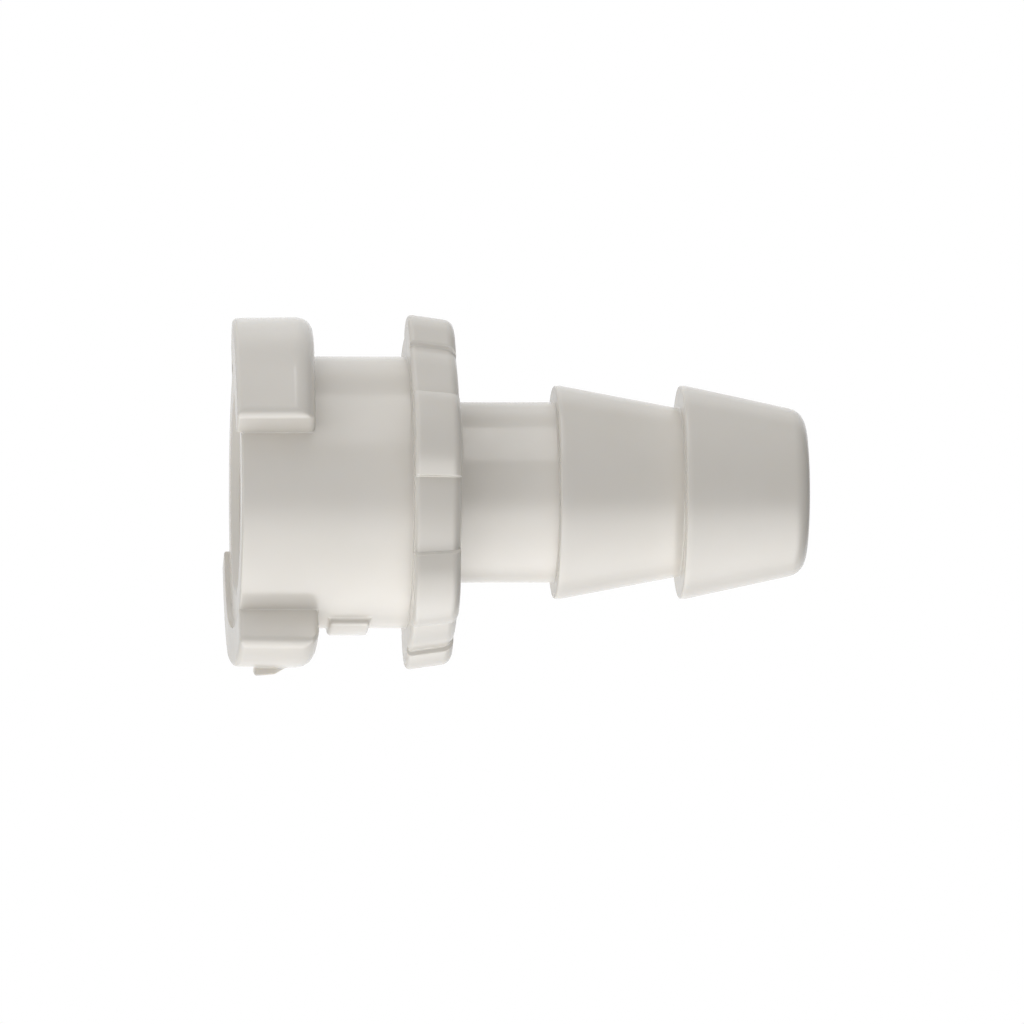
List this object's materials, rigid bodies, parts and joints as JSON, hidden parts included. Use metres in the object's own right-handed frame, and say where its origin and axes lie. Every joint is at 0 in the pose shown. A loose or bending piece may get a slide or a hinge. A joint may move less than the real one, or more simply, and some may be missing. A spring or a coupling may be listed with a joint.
{
  "type": "blood pressure hose connector",
  "caption": "Moulded plastic connector with a cam-lug bayonet socket, a lobed finger grip, a straight neck and a barbed stem for a cuff hose.",
  "frame": {"origin": "on the axis, in the plane of the two lugs' ends, which stand 0.15 mm proud of the socket's rim and which the part stands on", "axes": "+Z along the axis from the socket's mouth to the barbed tip; +X through the cam lug that carries the gate stub"},
  "size_m": [0.0099, 0.0094, 0.0158],
  "materials": {
    "moulded_plastic": "smooth injection moulded plastic, warm white, softly glossy"
  },
  "bodies": {
    "root": {"connector_body": "moulded_plastic"}
  },
  "joints": []
}
